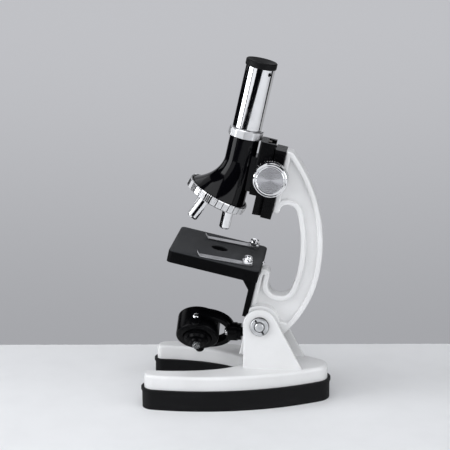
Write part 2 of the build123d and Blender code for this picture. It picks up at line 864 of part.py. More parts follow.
def turret_spring():
    """The dished spring washer that keeps the nosepiece from wobbling."""
    floor = -turret_height / 2 + turret_floor + turret_gap
    roof = turret_height / 2 + turret_gap
    hole = turret_pin_radius + 0.1
    washer = spun((hole, roof - 0.5), (hole, roof), (6.0, floor + 0.5), (6.0, floor))
    return turret.location * washer


def eyepiece_tube():
    """The chrome eyepiece barrel, with the sleeve that slides in the tube."""
    outer, sleeve = eyepiece_radius, tube_bore - sleeve_clearance
    low = collar_top + eyepiece_gap
    barrel = spun(
        (sleeve - sleeve_wall, sleeve_bottom),
        (sleeve, sleeve_bottom),
        (sleeve, low),
        (outer - 0.3, low),
        (outer, low + 0.3),
        (outer, eyepiece_top),
        (outer - eyepiece_wall, eyepiece_top),
        (outer - eyepiece_wall, low + 3),
        (sleeve - sleeve_wall, low + 3),
    )
    return barrel - set_screw_place() * post(1.25, -eyepiece_wall - 1, 2)


def set_screw_place():
    """Where the eye cap's set screw sits, on the near rear side below the cap."""
    way = Vector(math.cos(math.radians(-44)), math.sin(math.radians(-44)), 0)
    return pointing(way * eyepiece_radius + Vector(0, 0, eyepiece_top - 2.6), way)


def cap_set_screw():
    """A small black set screw, just below the tube's surface."""
    pin = post(1.2, -eyepiece_wall - 0.4, -0.5) - block((-0.25, 0.25), (-2, 2), (-0.9, 0))
    return set_screw_place() * pin


def eyepiece_cap():
    """The black eye cap: dished round the eye hole, with a spigot in the tube."""
    spigot = eyepiece_radius - eyepiece_wall - 0.03
    top = eyepiece_top + cap_height
    cap = spun(
        (eye_hole_radius, eyepiece_top - 0.8),
        (5.6, eyepiece_top - 0.8),
        (5.6, eyepiece_top - 4.6),
        (spigot, eyepiece_top - 4.6),
        (spigot, eyepiece_top),
        (cap_radius - 0.3, eyepiece_top),
        (cap_radius, eyepiece_top + 0.6),
        (cap_radius, top - 0.5),
        (cap_radius - 0.5, top),
        (cap_radius - 1.1, top),
        (eye_hole_radius + 1.0, top - 1.7),
        (eye_hole_radius, top - 2.2),
    )
    return cap - set_screw_place() * post(1.25, -eyepiece_wall - 1, 0)


def eye_lens():
    """The lens under the eye cap."""
    low = eyepiece_top - 4.2
    return spun((0, low), (5.55, low + 0.5), (5.55, eyepiece_top - 1.9), (0, eyepiece_top - 0.9))


def field_lens():
    """The lens at the foot of the eyepiece's sleeve."""
    edge = tube_bore - sleeve_clearance - sleeve_wall - 0.03
    return spun((0, sleeve_bottom + 0.6), (edge, sleeve_bottom + 1.6), (edge, sleeve_bottom + 2.8), (0, sleeve_bottom + 2.8))


def field_stop():
    """The ring that frames the view, half way up the eyepiece."""
    edge = tube_bore - sleeve_clearance - sleeve_wall - 0.03
    middle = (sleeve_bottom + collar_top) / 2
    return post(edge, middle, middle + 0.8) - post(edge * 0.62, middle - 1, middle + 2)


def fork_path(reach):
    """The fork's U in plan, out to a distance from the drum's side."""
    side = drum_radius + fork_gap + reach
    bend = fork_back - drum_radius - fork_gap
    legs = Rectangle(bend + fork_tip_radius, 2 * side, align=(Align.MAX, Align.CENTER))
    return Pos(bend, 0) * (legs + Circle(side))


def fork_centre():
    """Where the fork's band lies along the drum's axis, from the pins."""
    return -fork_width / 2 + fork_tip_radius * 0.75


def lamp_fork():
    """A half-ring channel with round tips on the drum's pins and a plate for the stem."""
    low = fork_centre() - fork_width / 2
    high = fork_centre() + fork_width / 2
    inside = fork_path(0)
    band = extrude(fork_path(fork_sheet) - inside, high - low)
    rib = extrude(fork_path(fork_sheet + fork_flange) - inside, fork_sheet * 0.7)
    fork = Pos(0, 0, low) * (band + rib + Pos(0, 0, high - low - fork_sheet * 0.7) * rib)
    side = drum_radius + fork_gap
    for way in (-1, 1):
        tip = crossbar(fork_tip_radius, side, side + fork_sheet)
        fork += tip if way > 0 else mirror(tip, Plane.XZ)
    fork -= block((-fork_tip_radius * 3, -fork_tip_radius), (-40, 40), (-40, 40))
    plate = RectangleRounded(hub_length, fork_width, fork_width * 0.45)
    start = fork_back + fork_sheet * 0.5
    plate = Plane(origin=(start, 0, 0), x_dir=(0, 1, 0), z_dir=(1, 0, 0)) * plate
    fork += extrude(plate, fork_sheet * 0.5 + fork_flange + hub_thickness) - extrude(
        Pos(0, 0, -20) * inside, 40
    )
    fork -= crossbar(fork_pin_radius + 0.02, -40, 40)
    return fork - rod(1.3, fork_back - 1, hub_face() + 1) - rod(2.8, fork_back - 3, fork_back)


def hub_face():
    """The outer face of the fork's hub plate, along the stem."""
    return fork_back + fork_sheet + fork_flange + hub_thickness


def fork_stem():
    """The stepped stem: a disc on the fork, a neck, and a plug that turns in the arm."""
    disc = hub_face()
    shoulder = disc + stem_disc_thickness
    end = stem_face() + stem_depth
    bore = 1.25
    stem = rod(stem_disc_radius, disc, shoulder) + rod(stem_radius, shoulder, end)
    stem = chamfer(stem.edges().group_by(Axis.X)[-1], 0.5)
    return stem - rod(bore, disc - 1, shoulder + 3)


def fork_screw():
    """The domed screw that holds the stem on the fork."""
    dome = screw(2.7, 2.2, 1.2, hub_face() + stem_disc_thickness + 2 - fork_back, 0.5)
    return pointing((fork_back, 0, 0), (-1, 0, 0)) * dome


def fork_pins():
    """Two headed pins through the fork's tips into the drum's sides."""
    start = drum_radius - drum_wall * 0.8
    seat = drum_radius + fork_gap + fork_sheet
    pin = crossbar(fork_pin_radius, start, seat) + crossbar(fork_pin_radius * 1.4, seat, seat + 0.9)
    return pin + mirror(pin, Plane.XZ)


drum_low = -drum_pin_offset - drum_depth / 2
drum_high = drum_low + drum_depth
cell_radius = 5.8
cell_height = 4.2
mirror_thickness = 1.6
ring_width = 1.6


def drum_housing():
    """The drum: open at the mirror and lamp ends, with a pocket for the cells between them."""
    shell = post(drum_radius, drum_low, drum_high)
    shell = fillet(shell.edges().filter_by(GeomType.CIRCLE), drum_edge)
    inner = drum_radius - drum_wall
    shell -= post(inner, drum_low - 1, drum_low + mirror_thickness + 0.8)
    shell -= post(inner, drum_high - 3.4, drum_high + 1)
    shell -= post(cell_radius + 0.15, drum_low + mirror_thickness + 1.8, drum_high)
    return shell - crossbar(fork_pin_radius + shaft_clearance, -drum_radius - 1, drum_radius + 1)


def lamp_mirror():
    """The flat mirror on the drum's other end."""
    return post(drum_radius - drum_wall - 0.05, drum_low + 0.8, drum_low + 0.8 + mirror_thickness)


def mirror_ring():
    """The ring that keeps the mirror in the drum."""
    outer = drum_radius - drum_wall - 0.05
    return post(outer, drum_low + 0.05, drum_low + 0.8) - post(outer - ring_width, drum_low - 1, drum_low + 2)


def lamp_bezel():
    """The stepped boss that closes the lamp end and holds the light."""
    outer = drum_radius - drum_wall - 0.05
    floor = drum_high - 3.4
    bezel = spun(
        (led_radius + 0.05, floor),
        (outer, floor),
        (outer, floor + 1.2),
        (outer * 0.80, floor + 1.2),
        (outer * 0.78, floor + 4.2),
        (outer * 0.62, floor + 4.6),
        (outer * 0.58, floor + 6.6),
        (outer * 0.40, floor + 7.0),
        (outer * 0.36, floor + 8.2),
        (led_radius + 0.05, floor + 8.2),
    )
    return bezel


def lamp_led():
    """The clear round-headed light in the middle of the boss."""
    floor = drum_high - 3.4
    top = drum_high + 6.0
    stem = post(led_radius, floor + 0.4, top)
    return stem + Pos(0, 0, top) * (Sphere(led_radius) & post(led_radius + 1, 0, led_radius + 1))


def button_cells():
    """Two button cells stacked under the light."""
    low = drum_low + mirror_thickness + 1.85
    cells = [post(cell_radius, low + i * (cell_height + 0.02), low + (i + 1) * cell_height) for i in range(2)]
    return cells[0] + cells[1]


upright_nodes = {
    "base_casting": base_casting(),
    "rubber_boot": rubber_boot(),
    "pivot_bolt": pivot_bolt(),
    "pivot_nut": pivot_nut(),
    "pivot_washers": pivot_washers(),
}
leaning_nodes = {
    "arm_casting": arm_casting(),
    "stage_plate": stage_plate(),
    "stage_bracket": stage_bracket(),
    "bracket_screws": bracket_screws(),
    "stage_screw": stage_screw(),
    "clip_screws": clip_screws(),
    "stage_clip_near": stage_clip(-1),
    "stage_clip_far": stage_clip(1),
    "guide_block": guide_block(),
    "guide_screws": guide_screws(),
    "carriage": carriage(),
    "carriage_screws": carriage_screws(),
    "focus_rack": focus_rack(),
    "pinion_gear": pinion_gear(),
    "pinion_shaft": pinion_shaft(),
    "focus_knob_near": focus_knob(-1),
    "focus_knob_far": focus_knob(1),
    "body_tube": body_tube(),
    "tube_collar": tube_collar(),
    "nosepiece": nosepiece(),
    "objective_medium": objective(0),
    "objective_low": objective(1),
    "objective_high": objective(2),
    "objective_lenses": objective_lenses(),
    "turret_screw": turret_screw(),
    "turret_spring": turret_spring(),
    "eyepiece_tube": eyepiece_tube(),
    "eyepiece_cap": eyepiece_cap(),
    "cap_set_screw": cap_set_screw(),
    "eye_lens": eye_lens(),
    "field_lens": field_lens(),
    "field_stop": field_stop(),
}
lamp_nodes = {
    "lamp_fork": lamp_fork(),
    "fork_stem": fork_stem(),
    "fork_screw": fork_screw(),
    "fork_pins": fork_pins(),
    "drum_housing": drum_housing(),
    "lamp_mirror": lamp_mirror(),
    "mirror_ring": mirror_ring(),
    "lamp_bezel": lamp_bezel(),
    "lamp_led": lamp_led(),
    "button_cells": button_cells(),
}

os.makedirs("parts", exist_ok=True)
for name, piece in upright_nodes.items():
    export_step(piece, f"parts/{name}.step")
for name, piece in leaning_nodes.items():
    export_step(leaning.location * piece, f"parts/{name}.step")
for name, piece in lamp_nodes.items():
    export_step(lamp.location * piece, f"parts/{name}.step")
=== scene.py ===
import math
import bmesh
import bpy
import numpy as np
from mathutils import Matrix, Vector


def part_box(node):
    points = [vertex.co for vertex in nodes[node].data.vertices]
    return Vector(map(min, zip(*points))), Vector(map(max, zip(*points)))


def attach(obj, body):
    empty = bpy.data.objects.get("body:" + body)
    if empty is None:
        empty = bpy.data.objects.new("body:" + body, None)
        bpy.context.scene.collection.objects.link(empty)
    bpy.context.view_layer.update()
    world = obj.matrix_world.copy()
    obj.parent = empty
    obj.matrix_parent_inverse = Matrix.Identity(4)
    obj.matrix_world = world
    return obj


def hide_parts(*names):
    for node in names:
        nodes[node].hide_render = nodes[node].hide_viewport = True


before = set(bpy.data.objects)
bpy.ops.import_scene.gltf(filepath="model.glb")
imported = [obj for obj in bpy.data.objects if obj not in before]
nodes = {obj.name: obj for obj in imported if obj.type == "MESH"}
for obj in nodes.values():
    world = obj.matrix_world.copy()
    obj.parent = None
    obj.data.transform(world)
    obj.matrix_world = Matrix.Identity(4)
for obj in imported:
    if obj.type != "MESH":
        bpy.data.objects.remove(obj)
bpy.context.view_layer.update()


# A socket that takes part in sums: each operator adds one Math node
class Wire:
    def __init__(self, finish, socket):
        self.finish = finish
        self.socket = socket

    def sum(self, operation, first, second=0.0):
        return self.finish.node("ShaderNodeMath", {"operation": operation}, {0: first, 1: second})

    def __add__(self, other):
        return self.sum("ADD", self, other)

    def __radd__(self, other):
        return self.sum("ADD", other, self)

    def __mul__(self, other):
        return self.sum("MULTIPLY", self, other)

    def __rmul__(self, other):
        return self.sum("MULTIPLY", other, self)

    def __truediv__(self, other):
        return self.sum("DIVIDE", self, other)

    def __pow__(self, other):
        return self.sum("POWER", self, other)

    def __gt__(self, other):
        return self.sum("GREATER_THAN", self, other)

    def __lt__(self, other):
        return self.sum("LESS_THAN", self, other)

    def __abs__(self):
        return self.sum("ABSOLUTE", self)

    def sine(self):
        return self.sum("SINE", self)

    def step(self, low, high):
        # smooth rise from 0 at low to 1 at high
        return self.finish.node(
            "ShaderNodeMapRange",
            {"interpolation_type": "SMOOTHSTEP"},
            {"Value": self, "From Min": low, "From Max": high, "To Min": 0.0, "To Max": 1.0},
        )


class Finish:
    def __init__(self, name, fixed):
        self.material = bpy.data.materials.new(name)
        self.material.use_nodes = True
        self.tree = self.material.node_tree
        self.tree.nodes.clear()
        shine = self.node("ShaderNodeBsdfPrincipled")
        self.bsdf = shine.socket.node
        self.node("ShaderNodeOutputMaterial", {}, {"Surface": shine}, out=None)
        self.feed(fixed)

    # every node: its type, its settings, then values or wires for its sockets
    def node(self, kind, settings=None, sockets=None, out=0):
        one = self.tree.nodes.new(kind)
        for key, value in (settings or {}).items():
            setattr(one, key, value)
        for key, value in (sockets or {}).items():
            self.plug(one.inputs[key], value)
        if out is None:
            return [Wire(self, socket) for socket in one.outputs]
        return Wire(self, one.outputs[out])

    def plug(self, socket, value):
        if isinstance(value, Wire):
            self.tree.links.new(value.socket, socket)
        elif isinstance(value, tuple) and len(value) == 3 and socket.type == "RGBA":
            socket.default_value = (*value, 1.0)
        else:
            socket.default_value = value

    def feed(self, sockets):
        for key, value in sockets.items():
            self.plug(self.bsdf.inputs[key], value)

    # object coordinates, seen from a frame at origin turned by the given angles
    def place(self, origin=(0, 0, 0), turn=(0, 0, 0)):
        coords = self.node("ShaderNodeTexCoord", out="Object")
        return self.node(
            "ShaderNodeMapping",
            {"vector_type": "TEXTURE"},
            {"Vector": coords, "Location": origin, "Rotation": turn},
        )

    def axes(self, coords):
        return self.node("ShaderNodeSeparateXYZ", {}, {0: coords}, out=None)

    def stretched(self, coords, scale):
        return self.node("ShaderNodeVectorMath", {"operation": "MULTIPLY"}, {0: coords, 1: scale})

    def noise(self, coords, scale, detail, roughness=0.55):
        sockets = {"Vector": coords, "Scale": scale, "Detail": detail, "Roughness": roughness}
        return self.node("ShaderNodeTexNoise", {}, sockets)

    def blend(self, share, first, second):
        return self.node("ShaderNodeMix", {"data_type": "RGBA"}, {0: share, 6: first, 7: second}, out=2)

    def bump(self, height, strength, distance, soften=0.0):
        sockets = {"Height": height, "Strength": strength, "Distance": distance}
        if soften:
            sockets["Normal"] = self.node("ShaderNodeBevel", {"samples": 8}, {"Radius": soften})
        return self.node("ShaderNodeBump", {}, sockets)


# Where the leaning head, the nosepiece and the lamp have their own axes, in metres and radians
lean = math.radians(12.6)
turretTurn = lean + math.radians(16.2)
stagePoint = (-0.012222, 0.0, 0.098357)


def headPoint(back, side, up):
    return (
        stagePoint[0] + back * math.cos(lean) + up * math.sin(lean),
        side,
        stagePoint[2] - back * math.sin(lean) + up * math.cos(lean),
    )


lampPoint = (-0.0267, 0.0, 0.0424)
lampRoll = math.radians(52)
lampTurn = (math.pi - lampRoll, 0, 0)
headTurn = (0, lean, 0)
knobPoint = headPoint(0.0224, 0, 0.0561)
turretPoint = headPoint(-0.00955, 0, 0.03285)


enamelLook = {"tone": (0.69, 0.69, 0.69), "worn": (0.64, 0.64, 0.635), "cloud": 28, "spread": (0.35, 0.75),
              "peel": 700, "lift": (0.12, 0.0002), "edge": 0.0009, "gloss": 0.36, "mottle": 0.12}


def whiteEnamel():
    f = Finish("white_enamel", {"Coat Weight": 0.25, "Coat Roughness": 0.12})
    coords = f.place()
    cloud = f.noise(coords, enamelLook["cloud"], detail=4)
    peel = f.noise(coords, enamelLook["peel"], detail=2)
    f.feed({
        "Base Color": f.blend(cloud.step(*enamelLook["spread"]), enamelLook["tone"], enamelLook["worn"]),
        "Roughness": enamelLook["gloss"] + cloud * enamelLook["mottle"],
        "Normal": f.bump(peel, *enamelLook["lift"], enamelLook["edge"]),
    })
    return f.material


rubberLook = {"tone": (0.002, 0.002, 0.0025), "dust": (0.008, 0.008, 0.0085), "scuff": 60,
              "spread": (0.5, 0.85), "stretch": (0.4, 0.4, 3.0), "grain": 1600, "lift": (0.25, 0.0002),
              "gloss": 0.5, "mottle": 0.25}


def bootRubber():
    f = Finish("boot_rubber", {"Specular IOR Level": 0.18})
    coords = f.place()
    grain = f.noise(coords, rubberLook["grain"], detail=3)
    scuff = f.noise(f.stretched(coords, rubberLook["stretch"]), rubberLook["scuff"], detail=5)
    f.feed({
        "Base Color": f.blend(scuff.step(*rubberLook["spread"]), rubberLook["tone"], rubberLook["dust"]),
        "Roughness": rubberLook["gloss"] + grain * rubberLook["mottle"],
        "Normal": f.bump(grain, *rubberLook["lift"]),
    })
    return f.material


lacquerLook = {"tone": (0.0012, 0.0012, 0.0018), "smear": 45, "spread": (0.45, 0.8), "stretch": (1, 1, 0.35),
               "peel": 420, "lift": (0.05, 0.0002), "gloss": 0.09, "mottle": 0.14}


def blackLacquer():
    f = Finish("black_lacquer", {"Specular IOR Level": 0.16, "Base Color": lacquerLook["tone"]})
    coords = f.place(stagePoint, headTurn)
    smear = f.noise(f.stretched(coords, lacquerLook["stretch"]), lacquerLook["smear"], detail=4)
    peel = f.noise(coords, lacquerLook["peel"], detail=2)
    f.feed({
        "Roughness": lacquerLook["gloss"] + smear.step(*lacquerLook["spread"]) * lacquerLook["mottle"],
        "Normal": f.bump(peel, *lacquerLook["lift"]),
    })
    return f.material


satinLook = {"cloud": 90, "spread": (0.5, 0.8), "lift": (0.12, 0.0001), "mottle": 0.16}
castLook = {"tone": (0.0012, 0.0012, 0.0015), "worn": (0.0035, 0.0035, 0.004), "grain": 1300, "shine": 0.1,
            "gloss": 0.2}
capLook = {"tone": (0.003, 0.003, 0.0035), "worn": (0.007, 0.007, 0.0075), "grain": 2100, "shine": 0.14,
           "gloss": 0.46}


def satinBlack(name, look):
    f = Finish(name, {"Specular IOR Level": look["shine"]})
    coords = f.place(stagePoint, headTurn)
    grain = f.noise(coords, look["grain"], detail=3)
    cloud = f.noise(coords, satinLook["cloud"], detail=4)
    f.feed({
        "Base Color": f.blend(cloud.step(*satinLook["spread"]), look["tone"], look["worn"]),
        "Roughness": look["gloss"] + grain * satinLook["mottle"],
        "Normal": f.bump(grain, *satinLook["lift"]),
    })
    return f.material


# painted light: the top's two tones are lighter than the skirt's, standing in for the light and room
# reflection on the top; wear noise is blended on both
stageLook = {"tone": (0.0012, 0.0012, 0.0015), "worn": (0.0025, 0.0025, 0.003), "wear": 130,
             "top": (0.030, 0.031, 0.033), "litTopWorn": (0.042, 0.043, 0.045), "litTopStep": (-0.0011, -0.0002),
             "spread": (0.45, 0.8), "stretch": (1, 0.25, 1), "crinkle": 1500, "lift": (0.35, 0.00025),
             "gloss": 0.42, "mottle": 0.25}


def stageCoat():
    f = Finish("stage_coat", {"Specular IOR Level": 0.06})
    coords = f.place(stagePoint, headTurn)
    crinkle = f.noise(coords, stageLook["crinkle"], detail=4, roughness=0.65)
    wear = f.noise(f.stretched(coords, stageLook["stretch"]), stageLook["wear"], detail=5)
    worn = wear.step(*stageLook["spread"])
    skirt = f.blend(worn, stageLook["tone"], stageLook["worn"])
    top = f.axes(coords)[2].step(*stageLook["litTopStep"])  # painted light: the top is painted lighter than the skirt, standing in for the light and reflections on it
    f.feed({
        "Base Color": f.blend(top, skirt, f.blend(worn, stageLook["top"], stageLook["litTopWorn"])),
        "Roughness": stageLook["gloss"] + crinkle * stageLook["mottle"],
        "Normal": f.bump(crinkle, *stageLook["lift"]),
    })
    return f.material


chromeLook = {"tone": (0.80, 0.80, 0.81), "dull": (0.70, 0.70, 0.71), "cloud": 70, "spread": (0.4, 0.8),
              "hazeSpread": (0.4, 0.9), "lines": 5200, "stretch": (0.02, 0.02, 1.0), "lift": (0.03, 0.00005),
              "bright": 0.05, "satin": 0.34, "mottle": 0.09}


# turned parts: fine lines run round an axis, so the noise changes quickly along it and slowly across it
def chromePlate(name, origin, turn, gloss="bright"):
    f = Finish(name, {"Metallic": 1.0})
    coords = f.place(origin, turn)
    lines = f.noise(f.stretched(coords, chromeLook["stretch"]), chromeLook["lines"], detail=2)
    haze = f.noise(coords, chromeLook["cloud"], detail=5)
    f.feed({
        "Base Color": f.blend(haze.step(*chromeLook["spread"]), chromeLook["tone"], chromeLook["dull"]),
        "Roughness": chromeLook[gloss] + haze.step(*chromeLook["hazeSpread"]) * chromeLook["mottle"],
        "Normal": f.bump(lines, *chromeLook["lift"]),
    })
    return f.material


ringShadeLook = {"tone": (0.74, 0.74, 0.75), "dull": (0.62, 0.62, 0.63), "groove": (0.03, 0.03, 0.032),
             "radius": 0.0198, "from": -0.0010, "gloss": 0.2}


# painted shade: the turret's rim is painted dark in its grooves, and so is all of it inside this radius and
# above this height
def ribbedChrome():
    f = Finish("ribbed_chrome", {"Metallic": 1.0})
    coords = f.place(turretPoint, (0, turretTurn, 0))
    x, y, z = f.axes(coords)
    haze = f.noise(coords, chromeLook["cloud"], detail=5).step(*chromeLook["spread"])
    unshaded = f.blend(haze, ringShadeLook["tone"], ringShadeLook["dull"])
    # painted shade mask: grooves and the inside of the cup take the dark tone
    shadeMask = ((x * x + y * y) ** 0.5 < ringShadeLook["radius"]) * (z > ringShadeLook["from"])
    f.feed({
        "Base Color": f.blend(shadeMask, unshaded, ringShadeLook["groove"]),
        "Roughness": ringShadeLook["gloss"] + haze * chromeLook["mottle"],
    })
    return f.material


plateLook = {"cloud": 260, "spread": (0.35, 0.7), "lift": (0.08, 0.00005), "gloss": 0.26, "mottle": 0.16}
steelLook = {"tone": (0.70, 0.71, 0.72), "dull": (0.56, 0.57, 0.58), "grain": 2700}
springLook = {"tone": (0.52, 0.52, 0.53), "dull": (0.42, 0.42, 0.43), "grain": 3100}
darkBrassLook = {"tone": (0.05, 0.037, 0.018), "dull": (0.03, 0.022, 0.011), "grain": 2700}
brassLook = {"tone": (0.66, 0.46, 0.19), "dull": (0.46, 0.31, 0.13), "grain": 2700}


def platedMetal(name, look):
    f = Finish(name, {"Metallic": 1.0})
    coords = f.place()
    cloud = f.noise(coords, plateLook["cloud"], detail=4)
    grain = f.noise(coords, look["grain"], detail=2)
    f.feed({
        "Base Color": f.blend(cloud.step(*plateLook["spread"]), look["tone"], look["dull"]),
        "Roughness": plateLook["gloss"] + cloud * plateLook["mottle"],
        "Normal": f.bump(grain, *plateLook["lift"]),
    })
    return f.material


nutShadeLook = {"face": -0.0158, "tone": (0.05, 0.05, 0.052), "gloss": 0.3}


# painted shade: the nut is painted dark wherever it lies below its face: in the slot, in the bore and round
# its edge
def slottedSteel():
    f = Finish("slotted_steel", {"Metallic": 1.0})
    coords = f.place()
    cloud = f.noise(coords, plateLook["cloud"], detail=4)
    unshaded = f.blend(cloud.step(*plateLook["spread"]), steelLook["tone"], steelLook["dull"])
    # painted shade mask: everything below the nut's face takes the dark tone
    shadeMask = f.axes(coords)[1] > nutShadeLook["face"]
    f.feed({
        "Base Color": f.blend(shadeMask, unshaded, nutShadeLook["tone"]),
        "Roughness": nutShadeLook["gloss"] + cloud * plateLook["mottle"],
    })
    return f.material


knobLook = {"faceRadius": 0.0081, "faceAt": 0.0192, "tone": (0.74, 0.74, 0.75), "face": (0.52, 0.52, 0.54),
            "rings": 5200, "pitch": 90000, "even": 0.4, "uneven": 1.2, "spread": 0.10, "core": 0.0001,
            "gloss": 0.08, "mottle": 0.05}


# turned face: fine rings lean towards the shaft and away from it, which draws the shine out into wedges
def turnedKnob():
    f = Finish("turned_knob", {"Metallic": 1.0})
    x, y, z = f.axes(f.place(knobPoint))
    radius = (x * x + z * z) ** 0.5
    face = (radius < knobLook["faceRadius"]) * (abs(y) > knobLook["faceAt"])
    ringPlace = f.node("ShaderNodeCombineXYZ", {}, {"X": radius, "Y": 0.0, "Z": 0.0})
    rings = f.noise(ringPlace, knobLook["rings"], detail=3, roughness=0.7)
    groove = (radius * knobLook["pitch"]).sine() * (knobLook["even"] + rings * knobLook["uneven"])
    slope = groove * face * knobLook["spread"] / (radius + knobLook["core"])
    outward = f.node("ShaderNodeCombineXYZ", {}, {"X": x * slope, "Y": 0.0, "Z": z * slope})
    turned = f.node(
        "ShaderNodeVectorTransform",
        {"vector_type": "VECTOR", "convert_from": "OBJECT", "convert_to": "WORLD"},
        {0: outward},
    )
    normal = f.node("ShaderNodeNewGeometry", out="Normal")
    leaning = f.node("ShaderNodeVectorMath", {"operation": "ADD"}, {0: normal, 1: turned})
    f.feed({
        "Base Color": f.blend(face, knobLook["tone"], knobLook["face"]),
        "Roughness": knobLook["gloss"] + face * rings * knobLook["mottle"],
        "Normal": f.node("ShaderNodeVectorMath", {"operation": "NORMALIZE"}, {0: leaning}),
    })
    return f.material


lampLook = {"tone": (0.0012, 0.0012, 0.0015), "worn": (0.0035, 0.0035, 0.004), "cloud": 110,
            "spread": (0.45, 0.8), "grain": 1100, "lift": (0.1, 0.0001), "gloss": 0.16, "mottle": 0.14}


def lampMoulding():
    f = Finish("lamp_moulding", {"Specular IOR Level": 0.06})
    coords = f.place(lampPoint, lampTurn)
    grain = f.noise(coords, lampLook["grain"], detail=3)
    cloud = f.noise(coords, lampLook["cloud"], detail=4)
    f.feed({
        "Base Color": f.blend(cloud.step(*lampLook["spread"]), lampLook["tone"], lampLook["worn"]),
        "Roughness": lampLook["gloss"] + grain * lampLook["mottle"],
        "Normal": f.bump(grain, *lampLook["lift"]),
    })
    return f.material


glassLook = {"tint": (0.93, 0.96, 0.97), "smear": 160, "spread": (0.5, 0.9), "gloss": 0.03, "mottle": 0.08}


def clearGlass(name, alpha, through=0.0):
    f = Finish(name, {"IOR": 1.5, "Alpha": alpha, "Transmission Weight": through, "Coat Weight": 0.4,
                      "Coat Roughness": 0.02, "Base Color": glassLook["tint"]})
    smear = f.noise(f.place(), glassLook["smear"], detail=4)
    f.feed({"Roughness": glassLook["gloss"] + smear.step(*glassLook["spread"]) * glassLook["mottle"]})
    return f.material


mirrorLook = {"tone": (0.90, 0.91, 0.91), "dull": (0.82, 0.83, 0.83), "cloud": 120, "spread": (0.5, 0.9),
              "gloss": 0.02, "mottle": 0.05}


def silverMirror():
    f = Finish("silver_mirror", {"Metallic": 1.0})
    haze = f.noise(f.place(lampPoint, lampTurn), mirrorLook["cloud"], detail=4).step(*mirrorLook["spread"])
    f.feed({
        "Base Color": f.blend(haze, mirrorLook["tone"], mirrorLook["dull"]),
        "Roughness": mirrorLook["gloss"] + haze * mirrorLook["mottle"],
    })
    return f.material


enamel = whiteEnamel()
castFinish = satinBlack("cast_black", castLook)
capFinish = satinBlack("cap_black", capLook)
stageFinish = stageCoat()
lampFinish = lampMoulding()
lacquer = blackLacquer()
headChrome = chromePlate("head_chrome", stagePoint, headTurn)
collarChrome = chromePlate("collar_chrome", stagePoint, headTurn, "satin")
turretChrome = chromePlate("turret_chrome", turretPoint, (0, turretTurn, 0))
lampChrome = chromePlate("lamp_chrome", lampPoint, lampTurn)
zinc = platedMetal("zinc_plate", steelLook)
springSteel = platedMetal("spring_steel", springLook)
brass = platedMetal("turned_brass", brassLook)
knobFinish = turnedKnob()
lensGlass = clearGlass("lens_glass", alpha=0.35)
coats = {
    "base_casting": enamel,
    "arm_casting": enamel,
    "rubber_boot": bootRubber(),
    "stage_plate": stageFinish,
    "stage_bracket": stageFinish,
    "guide_block": castFinish,
    "carriage": castFinish,
    "cap_set_screw": castFinish,
    "field_stop": castFinish,
    "body_tube": lacquer,
    "eyepiece_cap": capFinish,
    "focus_knob_near": knobFinish,
    "focus_knob_far": knobFinish,
    "tube_collar": collarChrome,
    "eyepiece_tube": headChrome,
    "clip_screws": headChrome,
    "stage_screw": headChrome,
    "stage_clip_near": springSteel,
    "stage_clip_far": springSteel,
    "nosepiece": turretChrome,
    "objective_low": turretChrome,
    "objective_medium": turretChrome,
    "objective_high": turretChrome,
    "turret_spring": springSteel,
    "fork_screw": lampChrome,
    "fork_pins": lampChrome,
    "lamp_fork": lampFinish,
    "fork_stem": lampFinish,
    "drum_housing": lampFinish,
    "mirror_ring": lampFinish,
    "lamp_bezel": lampFinish,
    "lamp_mirror": silverMirror(),
    "focus_rack": platedMetal("dark_brass", darkBrassLook),
    "pinion_gear": brass,
    "eye_lens": lensGlass,
    "field_lens": lensGlass,
    "objective_lenses": lensGlass,
    "lamp_led": clearGlass("lamp_glass", alpha=1.0, through=0.94),
}
for name, node in nodes.items():
    node.data.materials.clear()
    node.data.materials.append(coats.get(name, zinc))
print("finishes:", len(set(coats.values())), "on", len(nodes), "nodes")


# New pieces are drawn in millimetres in one of these frames: its origin, then its x, y and z directions
def leaningFrame(origin, angle):
    across, up = math.cos(angle), math.sin(angle)
    return origin, [(across, 0, -up), (0, 1, 0), (up, 0, across)]


def knobFrame(side):
    return knobPoint, [(1, 0, 0), (0, 0, -side), (0, side, 0)]


headFrame = leaningFrame(stagePoint, lean)
turretFrame = leaningFrame(turretPoint, turretTurn)
rollCos, rollSin = math.cos(lampRoll), math.sin(lampRoll)
lampFrame = (lampPoint, [(1, 0, 0), (0, -rollCos, rollSin), (0, -rollSin, -rollCos)])


# grid of points to quads: each row is a closed section, and the rows close into a ring or are capped
def gridShell(grid, capped=False):
    count, width = grid.shape[:2]
    index = np.arange(count * width).reshape(count, width)
    rows = index if capped else np.vstack([index, index[:1]])
    wide = np.hstack([rows, rows[:, :1]])
    corners = [wide[:-1, :-1], wide[1:, :-1], wide[1:, 1:], wide[:-1, 1:]]
    quads = np.stack(corners, axis=2).reshape(-1, 4).tolist()
    if capped:
        quads += [index[0].tolist(), index[-1].tolist()]
    return grid.reshape(-1, 3), quads


# lathe: x = r cos a, y = r sin a and z = h, where r is the radius of a profile's point
# plus that point's share of the rim's shape at a; a profile lists (radius, height, share)
def spunShell(profile, rimShape=None, steps=180):
    radius, height, share = np.array(profile, dtype=float).T
    angle = np.linspace(0, 2 * math.pi, steps, endpoint=False)[:, None]
    rim = rimShape(angle) if rimShape else 0 * angle
    reach = radius + share * rim
    grid = np.stack([reach * np.cos(angle), reach * np.sin(angle), height + 0 * reach], axis=2)
    return gridShell(grid)


# slab: an outline of two coordinates carried from low to high along the third, whose place in xyz is way
def slabShell(outline, low, high, way):
    ends = [np.insert(outline, way, level, axis=1) for level in (low, high)]
    return gridShell(np.stack(ends), capped=True)


# angle from the middle of the nearest of a number of flats round an axis
def fromFlat(angle, count):
    half = math.pi / count
    return np.mod(angle, 2 * half) - half


